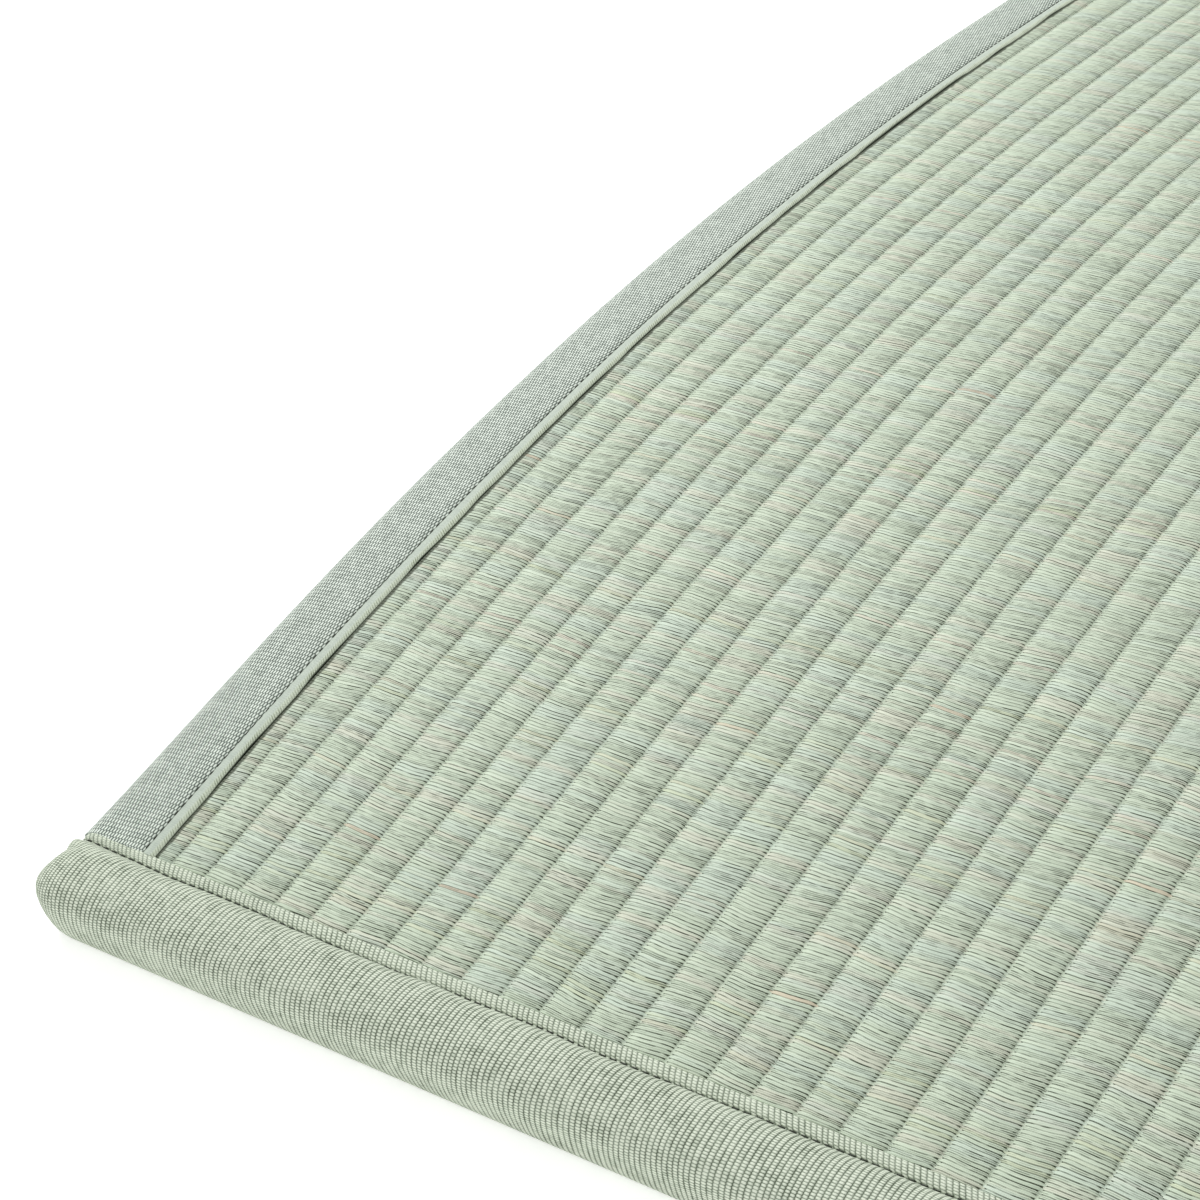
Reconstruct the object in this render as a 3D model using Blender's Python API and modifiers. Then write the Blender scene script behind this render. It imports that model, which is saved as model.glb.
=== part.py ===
"""A tatami mat: a ribbed woven rush body with taped long edges and a fat cloth roll sewn across each end.

The mat stands as a shallow arch on its two rolls. Metres, +Z up. X runs across the mat, Y along it,
the origin is on the surface it rests on, under its middle.
"""

import math
from collections import namedtuple

import bmesh
import bpy

# Driving dimensions of the whole mat
MAT_WIDTH = 0.880
MAT_LENGTH = 1.760
GAP = 0.0003

# Rush body: the face is at height 0 on the rib crests
BODY_THICKNESS = 0.009
RIB_PITCH = 0.012
EDGE_RIB = 0.006
RIB_COUNT = 68
RIB_DEPTH = 0.0014
RIB_SHOULDER = 0.28

# Tape folded over the long edges
TAPE_WIDTH = 0.026
TAPE_THICKNESS = 0.0015
TAPE_PROUD = 0.0002
EDGE_ROUNDING = 0.007
EDGE_STEPS = 10

# Cloth roll across each end, measured outwards from its stitch line and up from the face
ROLL_CENTRE_OUT = 0.0124
ROLL_CENTRE_UP = -0.0009
ROLL_HALF_WIDTH = 0.0112
ROLL_HALF_HEIGHT = 0.0110
ROLL_SQUARENESS = 2.6
ROLL_STEPS = 28
ROLL_LEAVES_SEAM = math.radians(164)
FOOT_FLATTENING = 0.0006

# Flat lips of the roll's cloth, sewn down on the face and on the underside
LIP_WIDTH = 0.0047
LIP_THICKNESS = 0.0019
LIP_PROUD = 0.0004
LIP_EDGE_ROUNDING = 0.0004
SEAM_DEPTH = 0.0006
SEAM_HALF_WIDTH = 0.0010
SLOT_DEPTH = 0.0005

# Rounded ends of the roll: the distance over which it closes, its fullness and what stays at the tip.
# Its lips close over the mat's rounded long edge.
CLOSING_LENGTH = 0.016
CLOSING_FULLNESS = 1.8
TIP_SHARE = 0.20
TIP_BLEND = 0.005
CLOSING_STATIONS = (0.0, 0.0007, 0.002, 0.004, 0.006, 0.010, 0.016)
LIP_TIP_SHARE = 0.30
LIP_TIP_ROUNDING = 0.006

# The arch: slope of the face at each distance in from an end's stitch line
Bend = namedtuple("Bend", "distance degrees")
BENDS = (
    Bend(0.000, 17.5),
    Bend(0.077, 15.5),
    Bend(0.175, 12.0),
    Bend(0.272, 8.0),
    Bend(0.370, 4.4),
    Bend(0.467, 1.8),
    Bend(0.560, 0.7),
    Bend(0.860, 0.0),
)
ARCH_STEP = 0.001
BODY_ROWS = (0.03, 0.11, 0.19, 0.27, 0.35, 0.45, 0.62)

END_SLOPE = math.radians(BENDS[0].degrees)
ROLL_FRONT = ROLL_CENTRE_OUT + ROLL_HALF_WIDTH
SEAM_TO_MIDDLE = MAT_LENGTH / 2 - ROLL_FRONT
HALF_WIDTH = MAT_WIDTH / 2
TAPE_EDGE = HALF_WIDTH - TAPE_WIDTH
LIP_PRESS = LIP_THICKNESS + GAP - LIP_PROUD
PANEL_END = SEAM_TO_MIDDLE + SLOT_DEPTH - GAP

# Finishes
SHARP_ANGLE = math.radians(40)
Finish = namedtuple("Finish", "name colour roughness")
RUSH = Finish("rush", (0.456, 0.533, 0.418), 0.75)
TAPE = Finish("tape", (0.445, 0.508, 0.445), 0.70)
BINDING = Finish("binding", (0.423, 0.491, 0.392), 0.85)


def clear_scene():
    for thing in list(bpy.data.objects):
        bpy.data.objects.remove(thing, do_unlink=True)


def make_collection(name):
    collection = bpy.data.collections.new(name)
    bpy.context.scene.collection.children.link(collection)
    return collection


def make_material(finish):
    material = bpy.data.materials.new(finish.name)
    material.use_nodes = True
    shader = material.node_tree.nodes["Principled BSDF"]
    shader.inputs["Base Color"].default_value = (*finish.colour, 1)
    shader.inputs["Roughness"].default_value = finish.roughness
    shader.inputs["Metallic"].default_value = 0
    return material


def slope_at(distance):
    """Slope of the face, in radians, at a distance in from the stitch line."""
    if distance <= BENDS[0].distance:
        return END_SLOPE
    for near, far in zip(BENDS, BENDS[1:]):
        if distance <= far.distance:
            share = (distance - near.distance) / (far.distance - near.distance)
            return math.radians(near.degrees + share * (far.degrees - near.degrees))
    return math.radians(BENDS[-1].degrees)


def rise_and_run(distance):
    """Horizontal run and rise along the face from the stitch line. Outside it the face goes on straight."""
    if distance <= 0:
        return distance * math.cos(END_SLOPE), distance * math.sin(END_SLOPE)
    steps = max(1, round(distance / ARCH_STEP))
    length = distance / steps
    run = rise = 0.0
    for step in range(steps):
        slope = slope_at((step + 0.5) * length)
        run += length * math.cos(slope)
        rise += length * math.sin(slope)
    return run, rise


def roll_outline():
    """Round outline of the end roll, as (out, up), from the seam on the face to the seam below."""
    points = []
    for step in range(ROLL_STEPS + 1):
        angle = ROLL_LEAVES_SEAM * (1 - 2 * step / ROLL_STEPS)
        across = math.copysign(abs(math.cos(angle)) ** (2 / ROLL_SQUARENESS), math.cos(angle))
        above = math.copysign(abs(math.sin(angle)) ** (2 / ROLL_SQUARENESS), math.sin(angle))
        points.append((ROLL_CENTRE_OUT + ROLL_HALF_WIDTH * across, ROLL_CENTRE_UP + ROLL_HALF_HEIGHT * above))
    return points


def height_over_seam(out, up):
    """Vertical height of a point of the end over its stitch line, with the mat standing as an arch."""
    return up * math.cos(END_SLOPE) - out * math.sin(END_SLOPE)


LOWEST = min(height_over_seam(out, up) for out, up in roll_outline())
SEAM_HEIGHT = -(LOWEST + FOOT_FLATTENING)
HALF_SPAN = rise_and_run(SEAM_TO_MIDDLE)[0]


def on_arch(across, along, up):
    """World point of a flat one: across from the middle, along the face from its middle, up from the face."""
    run, rise = rise_and_run(SEAM_TO_MIDDLE - abs(along))
    slope = slope_at(SEAM_TO_MIDDLE - abs(along))
    side = math.copysign(1, along)
    y = side * (HALF_SPAN - run + up * math.sin(slope))
    return across, y, SEAM_HEIGHT + rise + up * math.cos(slope)


def finish_mesh(bm, name, collection, material):
    mesh = bpy.data.meshes.new(name)
    bm.to_mesh(mesh)
    bm.free()
    mesh.shade_smooth()
    mesh.set_sharp_from_angle(angle=SHARP_ANGLE)
    thing = bpy.data.objects.new(name, mesh)
    collection.objects.link(thing)
    thing.data.materials.append(material)
    return thing


def loft(rings, closed):
    """Mesh through a row of sections with the same number of points, as closed rings or as open lines."""
    bm = bmesh.new()
    rows = [[bm.verts.new(point) for point in ring] for ring in rings]
    count = len(rows[0])
    spans = count if closed else count - 1
    for here, there in zip(rows, rows[1:]):
        for step in range(spans):
            after = (step + 1) % count
            bm.faces.new((here[step], here[after], there[after], there[step]))
    if closed:
        bm.faces.new(rows[0])
        bm.faces.new(rows[-1])
    bmesh.ops.recalc_face_normals(bm, faces=bm.faces)
    return bm


def body_rows(end):
    """Places along the face of the rows of points, from one end to the other."""
    front = [-end] + [row - SEAM_TO_MIDDLE for row in BODY_ROWS]
    return front + [0.0] + [-place for place in reversed(front)]


def long_edge(inset):
    """Half of the section's outline at a long edge, from the underside up, as (in from the edge, up)."""
    middle = -BODY_THICKNESS / 2
    half_height = BODY_THICKNESS / 2 + TAPE_PROUD
    points = [(TAPE_WIDTH, middle - half_height + inset)]
    for step in range(EDGE_STEPS + 1):
        angle = math.pi * (step / EDGE_STEPS - 0.5)
        outwards = EDGE_ROUNDING * math.cos(angle)
        above = half_height * math.sin(angle)
        normal_out = math.cos(angle) / EDGE_ROUNDING
        normal_up = math.sin(angle) / half_height
        length = math.hypot(normal_out, normal_up)
        outwards -= inset * normal_out / length
        above -= inset * normal_up / length
        points.append((EDGE_ROUNDING - outwards, middle + above))
    points.append((TAPE_WIDTH, middle + half_height - inset))
    return points


def rib_line():
    """Top line of the ribbed face, as (across, up), from the left tape to the right one."""
    left = -TAPE_EDGE + GAP
    right = TAPE_EDGE - GAP
    first_valley = -TAPE_EDGE + EDGE_RIB
    shoulder = RIB_SHOULDER * RIB_PITCH
    points = [(left, -RIB_DEPTH / 2), (left + shoulder / 2, 0.0), (first_valley - shoulder, 0.0)]
    for rib in range(RIB_COUNT):
        valley = first_valley + rib * RIB_PITCH
        points.append((valley, -RIB_DEPTH))
        points.append((valley + shoulder, 0.0))
        points.append((valley + RIB_PITCH - shoulder, 0.0))
    last_valley = first_valley + RIB_COUNT * RIB_PITCH
    points.append((last_valley, -RIB_DEPTH))
    points += [(last_valley + shoulder, 0.0), (right - shoulder / 2, 0.0), (right, -RIB_DEPTH / 2)]
    return points


def panel_section():
    """Closed section of the rush body across the mat, as (across, up)."""
    edge = long_edge(TAPE_THICKNESS + GAP)
    inner = TAPE_WIDTH + GAP
    edge = [(inner, -BODY_THICKNESS), (inner, edge[0][1])] + edge[1:-1] + [(inner, edge[-1][1])]
    left = [(inwards - HALF_WIDTH, up) for inwards, up in edge]
    right = [(HALF_WIDTH - inwards, up) for inwards, up in reversed(edge)]
    return left + rib_line() + right


def end_cutter(name, side, bottom, top, collection):
    """Box over one end of the body, between two heights, where the lip of the roll lies."""
    inner = side * (SEAM_TO_MIDDLE - LIP_WIDTH - GAP)
    outer = side * (SEAM_TO_MIDDLE + LIP_WIDTH)
    bpy.ops.mesh.primitive_cube_add(size=2)
    cutter = bpy.context.object
    cutter.name = name
    for vertex in cutter.data.vertices:
        corner = vertex.co
        along = outer if corner.y * side > 0 else inner
        up = top if corner.z > 0 else bottom
        vertex.co = on_arch(corner.x * MAT_WIDTH, along, up)
    for home in list(cutter.users_collection):
        home.objects.unlink(cutter)
    collection.objects.link(cutter)
    cutter.hide_render = True
    cutter.display_type = "WIRE"
    return cutter


def make_panel(collection, cutters, material):
    section = panel_section()
    rings = []
    for along in body_rows(PANEL_END):
        rings.append([on_arch(across, along, up) for across, up in section])
    panel = finish_mesh(loft(rings, closed=True), "rush_panel", collection, material)
    for side, end in ((-1, "front"), (1, "back")):
        levels = (
            ("face", -LIP_PRESS, BODY_THICKNESS),
            ("underside", -2 * BODY_THICKNESS, LIP_PRESS - BODY_THICKNESS),
        )
        for face, bottom, top in levels:
            cutter = end_cutter(f"cut_{end}_{face}", side, bottom, top, cutters)
            cut = panel.modifiers.new(cutter.name, "BOOLEAN")
            cut.operation = "DIFFERENCE"
            cut.solver = "EXACT"
            cut.object = cutter
    return panel


def make_tape(name, side, collection, material):
    """Tape folded over one long edge, stopping at the lips of the rolls."""
    line = [(side * (HALF_WIDTH - inwards), up) for inwards, up in long_edge(0)]
    rings = []
    for along in body_rows(SEAM_TO_MIDDLE - LIP_WIDTH - GAP):
        rings.append([on_arch(across, along, up) for across, up in line])
    bm = loft(rings, closed=False)
    outermost = max(bm.faces, key=lambda face: side * face.calc_center_median().x)
    if outermost.normal.x * side < 0:
        bmesh.ops.reverse_faces(bm, faces=bm.faces)
    tape = finish_mesh(bm, name, collection, material)
    wall = tape.modifiers.new("thickness", "SOLIDIFY")
    wall.thickness = TAPE_THICKNESS
    wall.offset = -1
    wall.use_even_offset = True
    return tape


def binding_section():
    """Section of the roll with its two lips, and of the slot between them that closes it, as (out, up)."""
    lip_under = LIP_PROUD - LIP_THICKNESS
    round_off = LIP_EDGE_ROUNDING
    top_lip = [
        (-LIP_WIDTH, lip_under),
        (-LIP_WIDTH, LIP_PROUD - round_off),
        (round_off - LIP_WIDTH, LIP_PROUD),
        (-SEAM_HALF_WIDTH, LIP_PROUD),
        (0.0, LIP_PROUD - SEAM_DEPTH),
    ]
    bottom_lip = [(out, -BODY_THICKNESS - up) for out, up in reversed(top_lip)]
    slot = [(SLOT_DEPTH, -BODY_THICKNESS - lip_under), (SLOT_DEPTH, lip_under)]
    return top_lip + roll_outline() + bottom_lip, slot


def rest_on_foot(out, up):
    """Point raised to the level of the foot where it would be lower, so that the roll lies flat there."""
    lift = max(0.0, -SEAM_HEIGHT - height_over_seam(out, up))
    return out - lift * math.sin(END_SLOPE), up + lift * math.cos(END_SLOPE)


def drawn_in(out, up, lip_share, share):
    """Point of the section near the mat's edge, where lips and roll have closed to a share of their height."""
    reach = min(1.0, max(0.0, out) / TIP_BLEND)
    blend = reach * reach * (3 - 2 * reach)
    towards_centre = min(1.0, max(0.0, out) / ROLL_CENTRE_OUT)
    middle = -BODY_THICKNESS / 2 * (1 - towards_centre) + ROLL_CENTRE_UP * towards_centre
    up = middle + (up - middle) * (lip_share + (share - lip_share) * blend)
    if out > ROLL_CENTRE_OUT:
        out = ROLL_CENTRE_OUT + (out - ROLL_CENTRE_OUT) * share
    return out, up


def binding_stations():
    """Places across the mat where the roll's section is drawn, with the height its lips and it have there."""
    stations = []
    for distance in CLOSING_STATIONS:
        over_edge = max(0.0, 1 - distance / LIP_TIP_ROUNDING)
        lip_share = max(LIP_TIP_SHARE, math.sqrt(1 - over_edge**2))
        left = 1 - distance / CLOSING_LENGTH
        share = max(TIP_SHARE, (1 - left**CLOSING_FULLNESS) ** (1 / CLOSING_FULLNESS))
        stations.append((distance - HALF_WIDTH, lip_share, share))
    return stations + [(-across, *shares) for across, *shares in reversed(stations)]


def make_binding(name, side, collection, material):
    around, slot = binding_section()
    rings = []
    for across, *shares in binding_stations():
        section = [drawn_in(*rest_on_foot(out, up), *shares) for out, up in around + slot]
        rings.append([on_arch(across, side * (SEAM_TO_MIDDLE + out), up) for out, up in section])
    return finish_mesh(loft(rings, closed=True), name, collection, material)


def main():
    clear_scene()
    mat = make_collection("tatami_mat")
    cutters = make_collection("cutters")
    rush = make_material(RUSH)
    tape = make_material(TAPE)
    binding = make_material(BINDING)
    make_panel(mat, cutters, rush)
    make_tape("side_tape_left", -1, mat, tape)
    make_tape("side_tape_right", 1, mat, tape)
    make_binding("end_binding_front", -1, mat, binding)
    make_binding("end_binding_back", 1, mat, binding)


main()
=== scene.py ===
import math

import bmesh
import bpy
import numpy as np
from mathutils import Matrix, Vector


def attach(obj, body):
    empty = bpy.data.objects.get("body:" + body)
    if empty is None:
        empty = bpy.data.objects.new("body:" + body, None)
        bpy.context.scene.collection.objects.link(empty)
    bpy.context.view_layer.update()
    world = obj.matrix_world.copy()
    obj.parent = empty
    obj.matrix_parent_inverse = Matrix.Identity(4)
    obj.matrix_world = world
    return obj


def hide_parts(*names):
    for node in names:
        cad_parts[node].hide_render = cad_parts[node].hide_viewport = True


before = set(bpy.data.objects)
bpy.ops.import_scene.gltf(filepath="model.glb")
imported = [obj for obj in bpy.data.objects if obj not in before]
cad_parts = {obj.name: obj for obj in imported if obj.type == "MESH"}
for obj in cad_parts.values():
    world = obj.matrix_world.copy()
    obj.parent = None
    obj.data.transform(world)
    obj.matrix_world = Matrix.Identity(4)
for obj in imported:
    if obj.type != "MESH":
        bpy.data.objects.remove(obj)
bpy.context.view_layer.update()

millimetre = 0.001

# sizes of the whole mat, in metres, the same as its solids
mat = {
    "width": 0.880,
    "length": 1.760,
    "thickness": 0.009,
    "ribPitch": 0.012,
    "edgeRib": 0.006,
    "ribCount": 68,
    "tapeWidth": 0.026,
    "edgeRounding": 0.007,
    "lipWidth": 0.0047,
}

# slope of the face in degrees at each distance in from an end's stitch line
arch = {
    "distance": (0.000, 0.077, 0.175, 0.272, 0.370, 0.467, 0.560, 0.860),
    "slope": (17.5, 15.5, 12.0, 8.0, 4.4, 1.8, 0.7, 0.0),
    "step": 0.0005,
}

# padded roll across each end, measured outwards from its stitch line and up from the face
roll = {
    "centreOut": 0.0124,
    "centreUp": -0.0009,
    "halfWidth": 0.0112,
    "halfHeight": 0.0110,
    "squareness": 2.6,
    "leavesSeam": 164,
    "flattening": 0.0006,
    "closing": 0.016,
    "fullness": 1.8,
    "tipShare": 0.20,
    "tipBlend": 0.005,
    "lipTipShare": 0.30,
    "lipTipRounding": 0.006,
}

halfWidth = mat["width"] / 2
seamToMiddle = mat["length"] / 2 - roll["centreOut"] - roll["halfWidth"]
endSlope = math.radians(arch["slope"][0])
leftInner = mat["tapeWidth"] - halfWidth
rightInner = halfWidth - mat["tapeWidth"]


# value noise on a line, from -1 to 1, different for each seed
def lineNoise(place, seed):
    cell = np.floor(place)
    share = place - cell
    share = share * share * (3 - 2 * share)

    def corner(i):
        value = np.sin(i * 12.9898 + seed * 78.233 + 4.1) * 43758.5453
        return (value - np.floor(value)) * 2 - 1

    return corner(cell) * (1 - share) + corner(cell + 1) * share


def smoothStep(value):
    value = np.clip(value, 0, 1)
    return value * value * (3 - 2 * value)


def archTable():
    outside = 0.05
    places = np.arange(-outside, seamToMiddle + arch["step"], arch["step"])
    slopes = np.radians(np.interp(places, arch["distance"], arch["slope"]))
    middle = (slopes[1:] + slopes[:-1]) / 2
    run = np.concatenate([[0], np.cumsum(np.cos(middle))]) * arch["step"]
    rise = np.concatenate([[0], np.cumsum(np.sin(middle))]) * arch["step"]
    run -= np.interp(0, places, run)
    rise -= np.interp(0, places, rise)
    return places, slopes, run, rise


places, slopes, runs, rises = archTable()
halfSpan = float(np.interp(seamToMiddle, places, runs))


# outline of the roll at an angle: 0 is outwards, positive is above
def rollPoint(angle):
    power = 2 / roll["squareness"]
    across = np.sign(np.cos(angle)) * np.abs(np.cos(angle)) ** power
    above = np.sign(np.sin(angle)) * np.abs(np.sin(angle)) ** power
    return roll["centreOut"] + roll["halfWidth"] * across, roll["centreUp"] + roll["halfHeight"] * above


def heightOverSeam(out, up):
    return up * math.cos(endSlope) - out * math.sin(endSlope)


outlineHeights = heightOverSeam(*rollPoint(np.linspace(-math.pi, math.pi, 721)))
seamHeight = -(float(np.min(outlineHeights)) + roll["flattening"])


# flat place on the mat to its place in the room: across, along from the middle, up from the face
def onArch(across, along, up):
    across, along, up = np.broadcast_arrays(across, along, up)
    inwards = seamToMiddle - np.abs(along)
    run = np.interp(inwards, places, runs)
    rise = np.interp(inwards, places, rises)
    slope = np.interp(inwards, places, slopes)
    y = np.sign(along) * (halfSpan - run + up * np.sin(slope))
    z = seamHeight + rise + up * np.cos(slope)
    return np.stack([across, y, z], axis=-1)


def clearSelection():
    if bpy.context.object and bpy.context.object.mode != "OBJECT":
        bpy.ops.object.mode_set(mode="OBJECT")
    bpy.ops.object.select_all(action="DESELECT")


def activate(*pieces):
    clearSelection()
    for piece in pieces:
        piece.select_set(True)
    bpy.context.view_layer.objects.active = pieces[0]


# grid primitive whose points are laid out by a table of places, with its own UV map
def addSheetGrid(name, points, weave):
    rows, columns = points.shape[:2]
    clearSelection()
    bpy.ops.mesh.primitive_grid_add(x_subdivisions=columns - 1, y_subdivisions=rows - 1, size=2)
    piece = bpy.context.object
    piece.name = piece.data.name = name
    mesh = piece.data
    flat = np.zeros(len(mesh.vertices) * 3)
    mesh.vertices.foreach_get("co", flat)
    flat = flat.reshape(-1, 3)
    column = np.rint((flat[:, 0] + 1) / 2 * (columns - 1)).astype(int)
    row = np.rint((flat[:, 1] + 1) / 2 * (rows - 1)).astype(int)
    mesh.vertices.foreach_set("co", points[row, column].ravel())
    corner = np.zeros(len(mesh.loops), int)
    mesh.loops.foreach_get("vertex_index", corner)
    mesh.uv_layers[0].name = "weave"
    mesh.uv_layers[0].data.foreach_set("uv", weave[row, column][corner].ravel())
    mesh.update()
    return piece


def faceOutwards(piece):
    activate(piece)
    bpy.ops.object.mode_set(mode="EDIT")
    bpy.ops.mesh.select_all(action="SELECT")
    bpy.ops.mesh.normals_make_consistent(inside=False)
    bpy.ops.object.mode_set(mode="OBJECT")


def finishPiece(piece, material, smoothAngle=60):
    faceOutwards(piece)
    bpy.ops.object.shade_smooth_by_angle(angle=math.radians(smoothAngle))
    piece.data.materials.clear()
    piece.data.materials.append(material)
    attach(piece, "root")


def applyModifier(piece, modifier):
    activate(piece)
    bpy.ops.object.modifier_apply(modifier=modifier.name)


# short ways to build the node materials
def newMaterial(name, roughness, specular):
    material = bpy.data.materials.new(name)
    material.use_nodes = True
    shader = material.node_tree.nodes["Principled BSDF"]
    shader.inputs["Roughness"].default_value = roughness
    shader.inputs["Specular IOR Level"].default_value = specular
    return material, material.node_tree, shader


def put(tree, socket, value):
    if isinstance(value, bpy.types.NodeSocket):
        tree.links.new(value, socket)
    else:
        socket.default_value = value


def calc(tree, operation, *values):
    node = tree.nodes.new("ShaderNodeMath")
    node.operation = operation
    for socket, value in zip(node.inputs, values):
        put(tree, socket, value)
    return node.outputs[0]


def add(tree, a, b):
    return calc(tree, "ADD", a, b)


def times(tree, a, b):
    return calc(tree, "MULTIPLY", a, b)


def scaleAdd(tree, a, factor, offset):
    return calc(tree, "MULTIPLY_ADD", a, factor, offset)


def spread(tree, value, low, high, toLow=0.0, toHigh=1.0, kind="SMOOTHSTEP"):
    node = tree.nodes.new("ShaderNodeMapRange")
    node.interpolation_type = kind
    keys = ("Value", "From Min", "From Max", "To Min", "To Max")
    for key, number in zip(keys, (value, low, high, toLow, toHigh)):
        put(tree, node.inputs[key], number)
    return node.outputs[0]


def pair(tree, x, y, z=0.0):
    node = tree.nodes.new("ShaderNodeCombineXYZ")
    for socket, value in zip(node.inputs, (x, y, z)):
        put(tree, socket, value)
    return node.outputs[0]


def softNoise(tree, place, scale=1.0, detail=0.0):
    node = tree.nodes.new("ShaderNodeTexNoise")
    node.noise_dimensions = "2D"
    put(tree, node.inputs["Vector"], place)
    node.inputs["Scale"].default_value = scale
    node.inputs["Detail"].default_value = detail
    return node.outputs["Fac"]


def cellNoise(tree, place):
    node = tree.nodes.new("ShaderNodeTexWhiteNoise")
    node.noise_dimensions = "2D"
    put(tree, node.inputs["Vector"], place)
    return node.outputs["Value"]


def ramp(tree, value, stops):
    node = tree.nodes.new("ShaderNodeValToRGB")
    put(tree, node.inputs[0], value)
    elements = node.color_ramp.elements
    while len(elements) < len(stops):
        elements.new(0.5)
    for element, (position, colour) in zip(elements, stops):
        element.position = position
        element.color = (*colour, 1)
    return node.outputs["Color"]


def mixColour(tree, factor, a, b, blend="MIX"):
    node = tree.nodes.new("ShaderNodeMix")
    node.data_type = "RGBA"
    node.blend_type = blend
    put(tree, node.inputs["Factor"], factor)
    sockets = [socket for socket in node.inputs if socket.type == "RGBA"]
    for socket, value in zip(sockets, (a, b)):
        put(tree, socket, value if isinstance(value, bpy.types.NodeSocket) else (*value, 1))
    return next(socket for socket in node.outputs if socket.type == "RGBA")


def grey(tree, value):
    return pair(tree, value, value, value)


def weaveCoordinates(tree):
    node = tree.nodes.new("ShaderNodeUVMap")
    node.uv_map = "weave"
    split = tree.nodes.new("ShaderNodeSeparateXYZ")
    tree.links.new(node.outputs["UV"], split.inputs[0])
    return split.outputs["X"], split.outputs["Y"]


def bumpInto(tree, shader, height, strength=1.0):
    node = tree.nodes.new("ShaderNodeBump")
    node.inputs["Strength"].default_value = strength
    node.inputs["Distance"].default_value = millimetre
    tree.links.new(height, node.inputs["Height"])
    tree.links.new(node.outputs["Normal"], shader.inputs["Normal"])


# place in a noise, with so many of its cells to a unit of x and of y
def patternPlace(tree, x, y, cells, shift=0.0):
    return pair(tree, scaleAdd(tree, x, cells[0], shift), times(tree, y, cells[1]))


# noise from 0 to 1, made to swing as far below nothing as above it
def centred(tree, noise, span):
    return scaleAdd(tree, noise, span, -span / 2)


# 1 in the middle of each cell, 0 at its edges; share runs from 0 to 1 over the cell
def roundTop(tree, share, power):
    off = calc(tree, "ABSOLUTE", scaleAdd(tree, share, 2.0, -1.0))
    return calc(tree, "SUBTRACT", 1.0, calc(tree, "POWER", off, power))


# pattern and colours of the woven rush
rush = {
    "ribSpan": 74,              # ribs that the weave map spans, with some room at both sides
    "ribStart": 3,
    "length": 2 * seamToMiddle / millimetre,
    "pairPitch": 1.10,          # mm
    "drift": 2.4,               # in pairs, as the next three: slow shift from rib to rib
    "bunch": 0.28,              # straws closer together in some places
    "bow": 0.38,                # bend of the straws towards the valleys
    "tilt": 0.46,               # slant of the straws across a rib
    "driftCells": (0.45, 0.035),    # noise cells per rib and per mm along the mat
    "bunchCells": (0.9, 0.45),
    "tiltCells": (4.17, 0.22),
    "warmCells": (0.55, 0.24),
    "coolCells": (0.43, 0.14),
    "breakCells": (3.1, 7.7),       # per rib and per straw
    "fibreCells": (2.0, 2.9),
    "reach": (0.040, 0.016),    # in ribs, of pairs past a valley: by chance, and at least
    "strawLine": 0.85,          # painted shade of the lines between straws
    "pairLine": 0.50,           # more of it between pairs
    "leastLine": 0.04,
    "lineEdge": (0.08, 0.36),   # in straws, where a line's darkness ends
    "lineBreaks": (0.34, 0.54, 0.30, 1.0),
    "lineToRight": (0.15, 0.80, 0.60, 1.0),
    "notchWidth": 0.235,        # in pairs, at the valleys
    "rightNotch": (0.845, 0.975),   # shares of a rib where the notches open
    "leftNotch": (0.080, 0.006),
    "leftNotchShare": 0.85,
    "valleyLine": (0.018, 0.003, 0.0, 0.05),
    "underLip": (0.385, 0.455),     # in ribs past the outer valley, where the tape's lip shades it
    "warm": (0.52, 0.70, 0.0, 0.55),    # noise where a band starts and is full, then its share
    "cool": (0.48, 0.66, 0.0, 0.42),
    "rare": (0.9962, 0.9985, 0.0, 0.60),
    "rightShade": (0.15, 1.0, 1.0, 0.94),
    "gapDarkness": 0.96,
    "strawHeight": 0.04,        # mm, as the next two
    "pairHeight": 0.13,
    "gapHeight": -0.17,
    "pale": (0.509, 0.585, 0.460),
    "sage": (0.477, 0.556, 0.429),
    "greyGreen": (0.453, 0.532, 0.414),
    "bluish": (0.483, 0.576, 0.508),
    "yellowish": (0.494, 0.552, 0.390),
    "beige": (0.563, 0.549, 0.450),
    "tan": (0.560, 0.430, 0.310),
    "shadow": (0.028, 0.040, 0.014),
}


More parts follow.
